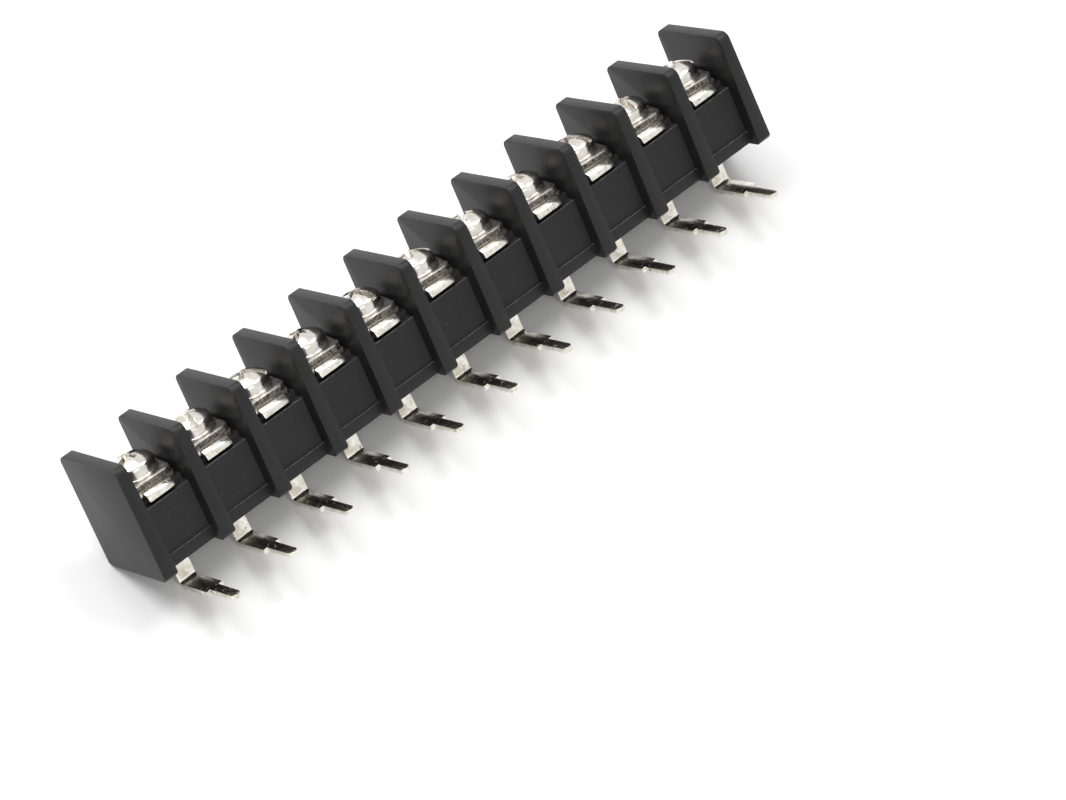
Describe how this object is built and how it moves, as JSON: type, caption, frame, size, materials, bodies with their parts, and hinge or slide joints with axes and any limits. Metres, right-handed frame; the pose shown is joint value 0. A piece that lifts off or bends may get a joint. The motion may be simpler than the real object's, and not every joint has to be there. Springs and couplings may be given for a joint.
{
  "type": "barrier terminal strip",
  "caption": "Barrier terminal strip for a circuit board: moulded housing with upright barriers, clamp screws between them, and a row of right-angle solder pins.",
  "frame": {"origin": "middle of the solder pin row where it crosses the circuit board's surface, on the pins' mid-plane", "axes": "+X along the row of poles, +Z towards the screws, -Y the way the solder pins point, through the board"},
  "size_m": [0.1066, 0.0182, 0.0216],
  "materials": {
    "housing": "fine moulded satin, black",
    "tin_plate": "bright tin plating with slight ripples",
    "clamp_steel": "plated steel with sheared grey edges",
    "nickel": "bright nickel plating"
  },
  "bodies": {
    "housing": {"housing": "housing", "terminal_1": "tin_plate", "terminal_2": "tin_plate", "terminal_3": "tin_plate", "terminal_4": "tin_plate", "terminal_5": "tin_plate", "terminal_6": "tin_plate", "terminal_7": "tin_plate", "terminal_8": "tin_plate", "terminal_9": "tin_plate", "terminal_10": "tin_plate", "terminal_11": "tin_plate"},
    "clamp_1": {"clamp_1": "clamp_steel", "washer_1": "nickel"},
    "screw_1": {"screw_1": "nickel"},
    "clamp_2": {"clamp_2": "clamp_steel", "washer_2": "nickel"},
    "screw_2": {"screw_2": "nickel"},
    "clamp_3": {"clamp_3": "clamp_steel", "washer_3": "nickel"},
    "screw_3": {"screw_3": "nickel"},
    "clamp_4": {"clamp_4": "clamp_steel", "washer_4": "nickel"},
    "screw_4": {"screw_4": "nickel"},
    "clamp_5": {"clamp_5": "clamp_steel", "washer_5": "nickel"},
    "screw_5": {"screw_5": "nickel"},
    "clamp_6": {"clamp_6": "clamp_steel", "washer_6": "nickel"},
    "screw_6": {"screw_6": "nickel"},
    "clamp_7": {"clamp_7": "clamp_steel", "washer_7": "nickel"},
    "screw_7": {"screw_7": "nickel"},
    "clamp_8": {"clamp_8": "clamp_steel", "washer_8": "nickel"},
    "screw_8": {"screw_8": "nickel"},
    "clamp_9": {"clamp_9": "clamp_steel", "washer_9": "nickel"},
    "screw_9": {"screw_9": "nickel"},
    "clamp_10": {"clamp_10": "clamp_steel", "washer_10": "nickel"},
    "screw_10": {"screw_10": "nickel"},
    "clamp_11": {"clamp_11": "clamp_steel", "washer_11": "nickel"},
    "screw_11": {"screw_11": "nickel"}
  },
  "joints": [
    {"name": "clamp_lift_1", "type": "slide", "parent": "housing", "child": "clamp_1", "axis": [0, 0, 1], "range_m": [0, 0.0022]},
    {"name": "screw_turn_1", "type": "hinge", "parent": "clamp_1", "child": "screw_1", "pos_m": [-0.0475, 0.007, 0.01655], "axis": [0, 0, 1], "range_deg": [0, 1320.1]},
    {"name": "clamp_lift_2", "type": "slide", "parent": "housing", "child": "clamp_2", "axis": [0, 0, 1], "range_m": [0, 0.0022]},
    {"name": "screw_turn_2", "type": "hinge", "parent": "clamp_2", "child": "screw_2", "pos_m": [-0.038, 0.007, 0.01655], "axis": [0, 0, 1], "range_deg": [0, 1320.1]},
    {"name": "clamp_lift_3", "type": "slide", "parent": "housing", "child": "clamp_3", "axis": [0, 0, 1], "range_m": [0, 0.0022]},
    {"name": "screw_turn_3", "type": "hinge", "parent": "clamp_3", "child": "screw_3", "pos_m": [-0.0285, 0.007, 0.01655], "axis": [0, 0, 1], "range_deg": [0, 1320.1]},
    {"name": "clamp_lift_4", "type": "slide", "parent": "housing", "child": "clamp_4", "axis": [0, 0, 1], "range_m": [0, 0.0022]},
    {"name": "screw_turn_4", "type": "hinge", "parent": "clamp_4", "child": "screw_4", "pos_m": [-0.019, 0.007, 0.01655], "axis": [0, 0, 1], "range_deg": [0, 1320.1]},
    {"name": "clamp_lift_5", "type": "slide", "parent": "housing", "child": "clamp_5", "axis": [0, 0, 1], "range_m": [0, 0.0022]},
    {"name": "screw_turn_5", "type": "hinge", "parent": "clamp_5", "child": "screw_5", "pos_m": [-0.0095, 0.007, 0.01655], "axis": [0, 0, 1], "range_deg": [0, 1320.1]},
    {"name": "clamp_lift_6", "type": "slide", "parent": "housing", "child": "clamp_6", "axis": [0, 0, 1], "range_m": [0, 0.0022]},
    {"name": "screw_turn_6", "type": "hinge", "parent": "clamp_6", "child": "screw_6", "pos_m": [0, 0.007, 0.01655], "axis": [0, 0, 1], "range_deg": [0, 1320.1]},
    {"name": "clamp_lift_7", "type": "slide", "parent": "housing", "child": "clamp_7", "axis": [0, 0, 1], "range_m": [0, 0.0022]},
    {"name": "screw_turn_7", "type": "hinge", "parent": "clamp_7", "child": "screw_7", "pos_m": [0.0095, 0.007, 0.01655], "axis": [0, 0, 1], "range_deg": [0, 1320.1]},
    {"name": "clamp_lift_8", "type": "slide", "parent": "housing", "child": "clamp_8", "axis": [0, 0, 1], "range_m": [0, 0.0022]},
    {"name": "screw_turn_8", "type": "hinge", "parent": "clamp_8", "child": "screw_8", "pos_m": [0.019, 0.007, 0.01655], "axis": [0, 0, 1], "range_deg": [0, 1320.1]},
    {"name": "clamp_lift_9", "type": "slide", "parent": "housing", "child": "clamp_9", "axis": [0, 0, 1], "range_m": [0, 0.0022]},
    {"name": "screw_turn_9", "type": "hinge", "parent": "clamp_9", "child": "screw_9", "pos_m": [0.0285, 0.007, 0.01655], "axis": [0, 0, 1], "range_deg": [0, 1320.1]},
    {"name": "clamp_lift_10", "type": "slide", "parent": "housing", "child": "clamp_10", "axis": [0, 0, 1], "range_m": [0, 0.0022]},
    {"name": "screw_turn_10", "type": "hinge", "parent": "clamp_10", "child": "screw_10", "pos_m": [0.038, 0.007, 0.01655], "axis": [0, 0, 1], "range_deg": [0, 1320.1]},
    {"name": "clamp_lift_11", "type": "slide", "parent": "housing", "child": "clamp_11", "axis": [0, 0, 1], "range_m": [0, 0.0022]},
    {"name": "screw_turn_11", "type": "hinge", "parent": "clamp_11", "child": "screw_11", "pos_m": [0.0475, 0.007, 0.01655], "axis": [0, 0, 1], "range_deg": [0, 1320.1]}
  ],
  "couplings": [
    {"joint": "screw_turn_1", "follows": "clamp_lift_1", "rad_per_m": 10472},
    {"joint": "screw_turn_2", "follows": "clamp_lift_2", "rad_per_m": 10472},
    {"joint": "screw_turn_3", "follows": "clamp_lift_3", "rad_per_m": 10472},
    {"joint": "screw_turn_4", "follows": "clamp_lift_4", "rad_per_m": 10472},
    {"joint": "screw_turn_5", "follows": "clamp_lift_5", "rad_per_m": 10472},
    {"joint": "screw_turn_6", "follows": "clamp_lift_6", "rad_per_m": 10472},
    {"joint": "screw_turn_7", "follows": "clamp_lift_7", "rad_per_m": 10472},
    {"joint": "screw_turn_8", "follows": "clamp_lift_8", "rad_per_m": 10472},
    {"joint": "screw_turn_9", "follows": "clamp_lift_9", "rad_per_m": 10472},
    {"joint": "screw_turn_10", "follows": "clamp_lift_10", "rad_per_m": 10472},
    {"joint": "screw_turn_11", "follows": "clamp_lift_11", "rad_per_m": 10472}
  ]
}
